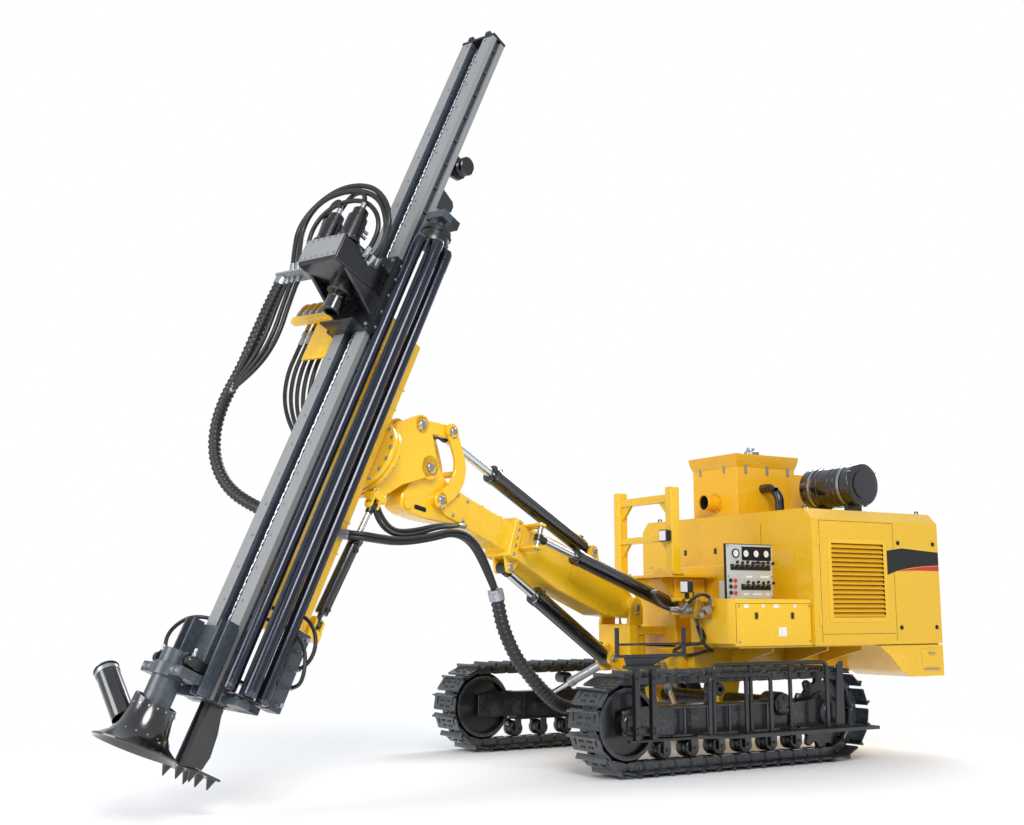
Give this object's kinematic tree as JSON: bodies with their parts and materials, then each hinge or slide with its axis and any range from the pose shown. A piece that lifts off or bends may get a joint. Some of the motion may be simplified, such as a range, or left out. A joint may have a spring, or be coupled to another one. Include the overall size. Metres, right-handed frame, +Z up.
{
  "type": "crawler drill rig",
  "caption": "Crawler rig for down-the-hole drilling: yellow engine housing and boom on black tracks, tall slate mast with rotary head, rod magazine and dust hood",
  "frame": {"origin": "Middle of the bounding box, on the ground under the tracks", "axes": "X forward, the way the boom points; Y to the side with the operator's console; Z up"},
  "size_m": [6.5761, 2.6154, 5.0136],
  "materials": {
    "yellow_paint": "gloss",
    "black_paint": "satin",
    "gloss_black": "gloss",
    "slate_paint": "satin",
    "track_iron": "satin",
    "bright_steel": "gloss",
    "bare_steel": "satin"
  },
  "bodies": {
    "chassis": {"track_left": "track_iron", "track_right": "track_iron", "idlers_sprockets": "track_iron", "track_rollers": "track_iron", "track_frame_left": "track_iron", "track_frame_right": "track_iron", "chassis_frame": "yellow_paint", "swing_bracket": "yellow_paint", "tilt_cylinders": "bright_steel", "hood_top": "yellow_paint", "hood_front": "yellow_paint", "hood_rear": "yellow_paint", "hood_left": "yellow_paint", "hood_right": "yellow_paint", "louvre_panels": "yellow_paint", "engine_block": "gloss_black", "rear_boxes": "yellow_paint", "console": "yellow_paint", "control_panel": "bright_steel", "hydraulic_tank": "yellow_paint", "valve_block": "bright_steel", "rest_frame": "yellow_paint", "dust_collector": "yellow_paint", "air_filter": "gloss_black", "exhaust_elbow": "bright_steel", "lamps": "gloss_black", "cradle": "black_paint", "step_deck": "black_paint", "step_rails": "black_paint"},
    "door": {"box_door": "yellow_paint"},
    "post": {"swing_post": "yellow_paint"},
    "boom": {"boom": "yellow_paint", "swing_lug": "yellow_paint"},
    "lift_barrel": {"lift_barrel": "gloss_black"},
    "lift_rod": {"lift_rod": "bright_steel"},
    "swing_cross": {"swing_cross": "bare_steel"},
    "swing_barrel": {"swing_barrel": "gloss_black"},
    "swing_rod": {"swing_rod": "bright_steel"},
    "pitch_barrel": {"pitch_barrel": "gloss_black"},
    "pitch_rod": {"pitch_rod": "bright_steel"},
    "bent_link": {"bent_link": "yellow_paint"},
    "top_link": {"top_link": "yellow_paint"},
    "bracket": {"mast_bracket": "yellow_paint", "roll_lug": "yellow_paint"},
    "carrier": {"carrier": "yellow_paint"},
    "roll_barrel": {"roll_barrel": "gloss_black"},
    "roll_rod": {"roll_rod": "bright_steel"},
    "mast": {"mast_beam": "slate_paint", "mast_top": "slate_paint", "back_bracket": "slate_paint", "feed_chain": "bare_steel", "foot_clamp": "slate_paint", "foot_plate": "black_paint", "foot_box": "slate_paint"},
    "dust_hood": {"dust_hood": "slate_paint"},
    "sled": {"head_sled": "black_paint", "rotary_head": "black_paint"},
    "spindle": {"spindle": "bare_steel"},
    "magazine": {"magazine": "slate_paint"}
  },
  "joints": [
    {"name": "box_door_hinge", "type": "hinge", "parent": "chassis", "child": "door", "pos_m": [-3.14557, 0.83377, 0.6315], "axis": [-1, 0, 0], "range_deg": [0, 95]},
    {"name": "boom_swing", "type": "hinge", "parent": "chassis", "child": "post", "pos_m": [-1.00807, -0.19823, 0.555], "axis": [0, 0, 1], "range_deg": [-30, 18]},
    {"name": "boom_lift", "type": "hinge", "parent": "post", "child": "boom", "pos_m": [-0.87492, -0.15497, 1.1], "axis": [0.309, -0.9511, 0], "range_deg": [-6, 28]},
    {"name": "mast_pitch", "type": "hinge", "parent": "boom", "child": "bracket", "pos_m": [1.23631, 0.53101, 1.97563], "axis": [-0.309, 0.9511, 0], "range_deg": [-25, 30]},
    {"name": "mast_swing", "type": "hinge", "parent": "bracket", "child": "carrier", "pos_m": [2.05947, 0.79847, 2.21112], "axis": [0.8675, 0.2819, 0.4099], "range_deg": [-15, 12]},
    {"name": "mast_slide", "type": "slide", "parent": "carrier", "child": "mast", "axis": [0.4075, 0.07, -0.9105], "range_m": [-0.42, 0.2]},
    {"name": "dust_hood_lift", "type": "slide", "parent": "mast", "child": "dust_hood", "axis": [-0.4075, -0.07, 0.9105], "range_m": [0, 0.045]},
    {"name": "head_feed", "type": "slide", "parent": "mast", "child": "sled", "axis": [-0.4075, -0.07, 0.9105], "range_m": [-1.85, 1.85]},
    {"name": "spindle_turn", "type": "hinge", "parent": "sled", "child": "spindle", "pos_m": [1.92757, 0.80036, 2.94025], "axis": [-0.4075, -0.07, 0.9105], "continuous": true},
    {"name": "magazine_turn", "type": "hinge", "parent": "mast", "child": "magazine", "pos_m": [1.76059, 1.02555, 2.44353], "axis": [-0.4075, -0.07, 0.9105], "range_deg": [-33, 75]},
    {"name": "lift_barrel_hinge", "type": "hinge", "parent": "post", "child": "lift_barrel", "pos_m": [-0.6752, -0.09008, 0.731], "axis": [0.309, -0.9511, 0], "range_deg": [-6.37, 27.34]},
    {"name": "lift_rod_slide", "type": "slide", "parent": "lift_barrel", "child": "lift_rod", "axis": [0.8352, 0.2714, 0.4784], "range_m": [-0.04818, 0.20686]},
    {"name": "swing_cross_hinge", "type": "hinge", "parent": "chassis", "child": "swing_cross", "pos_m": [-1.12807, 0.16177, 1.11], "axis": [0, 0, 1], "range_deg": [-29.6, 18.13]},
    {"name": "swing_barrel_hinge", "type": "hinge", "parent": "swing_cross", "child": "swing_barrel", "pos_m": [-1.12807, 0.16177, 1.11], "axis": [-0.2229, 0.9748, 0], "range_deg": [-28.39, 6.61]},
    {"name": "swing_rod_slide", "type": "slide", "parent": "swing_barrel", "child": "swing_rod", "axis": [0.9303, 0.2127, 0.2987], "range_m": [-0.11473, 0.18734]},
    {"name": "bent_link_hinge", "type": "hinge", "parent": "boom", "child": "bent_link", "pos_m": [1.13637, 0.49854, 1.7728], "axis": [-0.309, 0.9511, 0], "range_deg": [-14.71, 17.53]},
    {"name": "top_link_hinge", "type": "hinge", "parent": "bracket", "child": "top_link", "pos_m": [1.30759, 0.55417, 2.24064], "axis": [-0.309, 0.9511, 0], "range_deg": [-15.87, 13.32]},
    {"name": "pitch_barrel_hinge", "type": "hinge", "parent": "boom", "child": "pitch_barrel", "pos_m": [-0.46544, -0.02192, 1.5119], "axis": [-0.309, 0.9511, 0], "range_deg": [-0.84, 0.99]},
    {"name": "pitch_rod_slide", "type": "slide", "parent": "pitch_barrel", "child": "pitch_rod", "axis": [0.8662, 0.2814, 0.413], "range_m": [-0.11606, 0.13829]},
    {"name": "roll_barrel_hinge", "type": "hinge", "parent": "carrier", "child": "roll_barrel", "pos_m": [2.02388, 0.82961, 1.0087], "axis": [0.8675, 0.2819, 0.4099], "range_deg": [-5.87, 4.74]},
    {"name": "roll_rod_slide", "type": "slide", "parent": "roll_barrel", "child": "roll_rod", "axis": [-0.4319, 0.0177, 0.9018], "range_m": [-0.04582, 0.05678]}
  ],
  "couplings": [
    {"joint": "lift_barrel_hinge", "follows": "boom_lift", "ratio": 0.95344},
    {"joint": "lift_rod_slide", "follows": "boom_lift", "m_per_rad": 0.41325},
    {"joint": "swing_cross_hinge", "follows": "boom_swing", "ratio": 0.95606},
    {"joint": "swing_barrel_hinge", "follows": "boom_lift", "ratio": -0.98999},
    {"joint": "swing_rod_slide", "follows": "boom_swing", "m_per_rad": -0.3467},
    {"joint": "bent_link_hinge", "follows": "mast_pitch", "ratio": 0.56353},
    {"joint": "top_link_hinge", "follows": "mast_pitch", "ratio": -0.51028},
    {"joint": "pitch_barrel_hinge", "follows": "mast_pitch", "ratio": 0.030139},
    {"joint": "pitch_rod_slide", "follows": "mast_pitch", "m_per_rad": 0.25477},
    {"joint": "roll_barrel_hinge", "follows": "mast_swing", "ratio": 0.37768},
    {"joint": "roll_rod_slide", "follows": "mast_swing", "m_per_rad": -0.20936}
  ]
}
